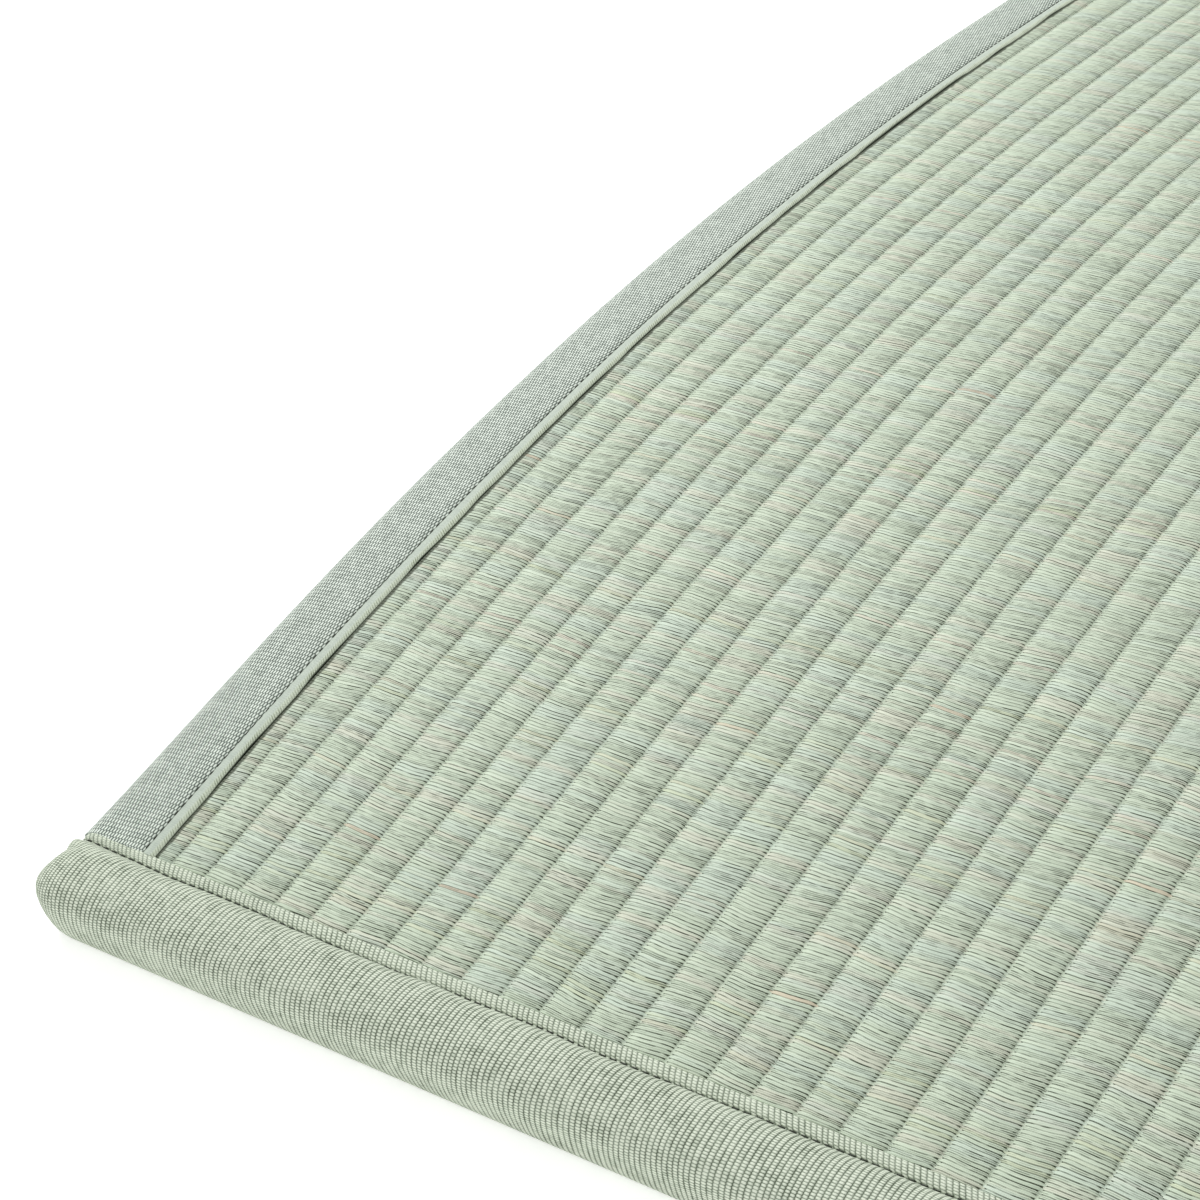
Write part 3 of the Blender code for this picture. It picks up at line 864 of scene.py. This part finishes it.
def makeEndRoll(name, side, node, material):
    print("end roll", name)
    around, slot = bindingSection()
    section = np.concatenate([around, slot])
    reach = np.concatenate([[0], np.cumsum(np.linalg.norm(np.diff(section, axis=0), axis=1))])
    reach -= reach[8]
    tipSpots = np.array((0.0, 0.0002, 0.0006, 0.0012, 0.0020, 0.0030, 0.0045, 0.0062, 0.0080, 0.0100))
    middle = np.arange(0.0122, halfWidth, binding["stations"])
    left = np.concatenate([tipSpots, middle]) - halfWidth
    across = np.concatenate([left, [0.0], -left[::-1]])[:, None]
    seamShift = seamWave(across, side)
    nearSeam = np.exp(-((section[:, 0] - 0.0002) / 0.0032) ** 2)
    seamReach = nearSeam * smoothStep((section[:, 0] + mat["lipWidth"]) / 0.0035)
    out = section[None, :, 0] + seamShift * np.where(section[:, 1] > -0.002, seamReach, 0)[None, :]
    up = np.tile(section[:, 1], (len(across), 1))

    # the roll swells and sinks a little along its length, and puckers at the stitches
    fromSeam = np.maximum(out - 0.0004, 0)
    pull = np.exp(-fromSeam / 0.0035) * smoothStep(fromSeam / 0.0012)
    outwards = np.clip(out / roll["centreOut"], 0, 1)
    pucker = binding["pucker"] * lineNoise(across / binding["puckerLength"], 7.0 + side) * pull
    long = binding["swell"] * lineNoise(across / binding["swellLength"], 17.0 + side) * outwards
    short = binding["swell"] * 0.35 * lineNoise(across / 0.019 + out / 0.03, 27.0 + side) * outwards
    angle = np.arctan2(up - roll["centreUp"], out - roll["centreOut"])
    upper = smoothStep((np.sin(angle) + 0.3) / 0.6)
    out = out + np.cos(angle) * (pucker + (long + short) * upper)
    up = up + np.sin(angle) * (pucker + (long + short) * upper)
    onLip = (section[None, :, 0] < 0) & (section[None, :, 1] > -0.001)
    ripple = binding["lipRipple"] * lineNoise(across / binding["lipRippleLength"], 37.0 + side)
    up = up + np.where(onLip, ripple, 0)

    # lies flat where it rests
    lift = np.maximum(0, -seamHeight - heightOverSeam(out, up))
    out, up = out - lift * math.sin(endSlope), up + lift * math.cos(endSlope)

    # rounded ends, with the lips closed over the mat's long edge
    share, lipShare = closedShare(across)
    blend = smoothStep(np.maximum(out, 0) / roll["tipBlend"])
    towards = np.clip(out / roll["centreOut"], 0, 1)
    centre = -mat["thickness"] / 2 * (1 - towards) + roll["centreUp"] * towards
    up = centre + (up - centre) * (lipShare + (share - lipShare) * blend)
    beyond = np.maximum(out - roll["centreOut"], 0)
    out = out - beyond * (1 - share)
    points = onArch(across, side * (seamToMiddle + out), up)
    mapU = np.tile(across / mat["width"] + 0.5, (1, len(section)))
    mapV = np.tile((reach + binding["mapStart"]) / binding["mapSpan"], (len(across), 1))
    piece = addSheetGrid(name, points, np.stack([mapU, mapV], axis=-1))
    activate(piece)
    bpy.ops.object.mode_set(mode="EDIT")
    bpy.ops.mesh.select_all(action="SELECT")
    bpy.ops.mesh.remove_doubles(threshold=1e-6)
    bpy.ops.mesh.select_all(action="DESELECT")
    bpy.ops.mesh.select_mode(type="EDGE")
    bpy.ops.mesh.select_non_manifold()
    bpy.ops.mesh.fill_holes(sides=0)
    bpy.ops.mesh.select_mode(type="VERT")
    bpy.ops.object.mode_set(mode="OBJECT")
    finishPiece(piece, material)
    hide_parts(node)
    return piece


# sewing threads
stitches = {
    "length": 0.0019,
    "pitch": 0.0031,
    "radius": 0.00018,
    "bend": 0.0006,              # from a stitch's middle, where its ends start to dip
    "dip": 0.00030,
    "tipShare": 0.55,            # thickness of its tips
    "turn": 0.09,                # chance differences from stitch to stitch
    "stretch": (0.92, 1.06),
    "thread": (0.026, 0.032, 0.019),
}


def threadMaterial():
    material, tree, shader = newMaterial("sewingThread", 0.55, 0.35)
    node = tree.nodes.new("ShaderNodeTexCoord")
    split = tree.nodes.new("ShaderNodeSeparateXYZ")
    tree.links.new(node.outputs["Object"], split.inputs[0])
    level = add(tree, times(tree, split.outputs["X"], 2600), times(tree, split.outputs["Y"], 2600))
    twist = add(tree, level, times(tree, split.outputs["Z"], 3900))
    ply = roundTop(tree, calc(tree, "FRACT", twist), 2.0)
    dark = tuple(channel * 0.62 for channel in stitches["thread"])
    colour = ramp(tree, ply, ((0.0, dark), (0.7, stitches["thread"])))
    tree.links.new(colour, shader.inputs["Base Color"])
    bumpInto(tree, shader, times(tree, ply, 0.05), 0.6)
    return material


# one stitch: a short thread, thick in the middle, whose ends dip into the cloth
def stitchModel():
    clearSelection()
    bpy.ops.mesh.primitive_cylinder_add(vertices=6, radius=stitches["radius"], depth=stitches["length"],
                                        rotation=(0, math.pi / 2, 0), end_fill_type="TRIFAN")
    piece = bpy.context.object
    bpy.ops.object.transform_apply(rotation=True)
    bpy.ops.object.mode_set(mode="EDIT")
    bpy.ops.mesh.select_all(action="SELECT")
    bpy.ops.mesh.bisect(plane_co=(-stitches["bend"], 0, 0), plane_no=(1, 0, 0))
    bpy.ops.mesh.select_all(action="SELECT")
    bpy.ops.mesh.bisect(plane_co=(stitches["bend"], 0, 0), plane_no=(1, 0, 0))
    bpy.ops.object.mode_set(mode="OBJECT")
    for vertex in piece.data.vertices:
        far = abs(vertex.co.x) / (stitches["length"] / 2)
        if far > 0.9:
            vertex.co.y *= stitches["tipShare"]
            vertex.co.z = vertex.co.z * stitches["tipShare"] - stitches["dip"]
    return piece


def stitchRow(name, places, directions, normals, material, model):
    mesh = model.data
    base = np.array([vertex.co for vertex in mesh.vertices])
    faces = [tuple(face.vertices) for face in mesh.polygons]
    random = np.random.RandomState(len(places))
    points, polygons = [], []
    for number, (place, direction, normal) in enumerate(zip(places, directions, normals)):
        sideways = np.cross(normal, direction)
        turn = random.uniform(-stitches["turn"], stitches["turn"])
        heading = direction * math.cos(turn) + sideways * math.sin(turn)
        sideways = np.cross(normal, heading)
        stretch = random.uniform(*stitches["stretch"])
        shape = base[:, :1] * stretch * heading + base[:, 1:2] * sideways + base[:, 2:3] * normal
        points.append(place + shape)
        polygons += [tuple(index + number * len(base) for index in face) for face in faces]
    made = bpy.data.meshes.new(name)
    made.from_pydata(np.concatenate(points).tolist(), [], polygons)
    piece = bpy.data.objects.new(name, made)
    bpy.context.scene.collection.objects.link(piece)
    finishPiece(piece, material)
    return piece


def makeStitches(material):
    print("stitches")
    model = stitchModel()
    for side, name in ((-1, "Front"), (1, "Back")):
        across = np.arange(1.5 * stitches["pitch"] - halfWidth, halfWidth - 0.002, stitches["pitch"])
        up = binding["lipProud"] - binding["seamDepth"] + 0.00015
        at = side * (seamToMiddle - 0.0004 + seamWave(across, side))
        placesHere = onArch(across, at, up)
        normal = onArch(0.0, side * seamToMiddle, 1.0) - onArch(0.0, side * seamToMiddle, 0.0)
        stitchRow("rollStitches" + name, placesHere, np.tile((1.0, 0, 0), (len(across), 1)),
                  np.tile(normal, (len(across), 1)), material, model)
    for side, name in ((-1, "Left"), (1, "Right")):
        along = np.arange(-seamToMiddle + 0.0070, seamToMiddle - 0.0065, stitches["pitch"])
        x = side * (halfWidth - tape["stitchIn"])
        up = 0.0002 - tape["grooveDepth"] + 0.00020
        placesHere = onArch(x, along, up)
        ahead = onArch(x, along + 0.0005, up) - onArch(x, along - 0.0005, up)
        ahead /= np.linalg.norm(ahead, axis=1, keepdims=True)
        normals = np.cross((1.0, 0, 0), ahead)
        stitchRow("tapeStitches" + name, placesHere, ahead, normals, material, model)
    bpy.data.objects.remove(model, do_unlink=True)


# floor, light and background
room = {
    "floorSize": 9.0,
    "floor": (0.90, 0.90, 0.90),
    "floorGlow": 0.50,
    "world": (1.0, 1.0, 1.0),
    "worldStrength": 0.54,
}

lamps = (
    {"name": "key", "place": (-1.9, 0.2, 1.85), "aim": (0.0, -0.4, 0.0), "size": 1.2, "power": 60.0},
    {"name": "fill", "place": (0.9, -2.2, 1.5), "aim": (0.0, -0.7, 0.0), "size": 2.0, "power": 16.0},
)

# place and turn of the camera, from a spot on the front stitch line beside the left long edge
shot = {
    "cornerIn": 0.003,
    "fromCorner": (0.5075, -0.4428, 0.4440),
    "heading": 36.82,
    "lookDown": 29.87,
    "roll": -3.17,
    "lens": 89.76,
    "sensor": 36.0,
}


def makeRoom():
    print("room, light and camera")
    clearSelection()
    bpy.ops.mesh.primitive_plane_add(size=room["floorSize"], location=(0, 0, 0))
    floor = bpy.context.object
    floor.name = "floor"
    material, tree, shader = newMaterial("paleFloor", 0.9, 0.1)
    shader.inputs["Base Color"].default_value = (*room["floor"], 1)
    shader.inputs["Emission Color"].default_value = (*room["floor"], 1)
    shader.inputs["Emission Strength"].default_value = room["floorGlow"]
    floor.data.materials.append(material)
    world = bpy.data.worlds.new("studio")
    bpy.context.scene.world = world
    world.use_nodes = True
    background = world.node_tree.nodes["Background"]
    background.inputs["Color"].default_value = (*room["world"], 1)
    background.inputs["Strength"].default_value = room["worldStrength"]
    for lamp in lamps:
        light = bpy.data.lights.new(lamp["name"], "AREA")
        light.energy = lamp["power"]
        light.size = lamp["size"]
        holder = bpy.data.objects.new(lamp["name"], light)
        bpy.context.scene.collection.objects.link(holder)
        holder.location = lamp["place"]
        aim = Vector(lamp["aim"]) - Vector(lamp["place"])
        holder.rotation_euler = aim.to_track_quat("-Z", "Y").to_euler()


def makeCamera():
    corner = onArch(shot["cornerIn"] - halfWidth, -seamToMiddle, 0.0)
    data = bpy.data.cameras.new("camera")
    data.sensor_width = shot["sensor"]
    data.lens = shot["lens"]
    camera = bpy.data.objects.new("camera", data)
    bpy.context.scene.collection.objects.link(camera)
    turn = (Matrix.Rotation(math.radians(shot["heading"]), 4, "Z")
            @ Matrix.Rotation(math.radians(90 - shot["lookDown"]), 4, "X")
            @ Matrix.Rotation(math.radians(shot["roll"]), 4, "Z"))
    camera.matrix_world = Matrix.Translation(Vector(corner) + Vector(shot["fromCorner"])) @ turn
    bpy.context.scene.camera = camera
    bpy.context.scene.view_settings.view_transform = "Standard"


makeCamera()
makeRoom()
makeRushPanel(rushMaterial())
tapeCloth = tapeMaterial()
makeSideTape("sideTapeLeft", -1, "side_tape_left", tapeCloth)
makeSideTape("sideTapeRight", 1, "side_tape_right", tapeCloth)
ribbedCloth = bindingMaterial()
makeEndRoll("endRollFront", -1, "end_binding_front", ribbedCloth)
makeEndRoll("endRollBack", 1, "end_binding_back", ribbedCloth)
makeStitches(threadMaterial())
clearSelection()
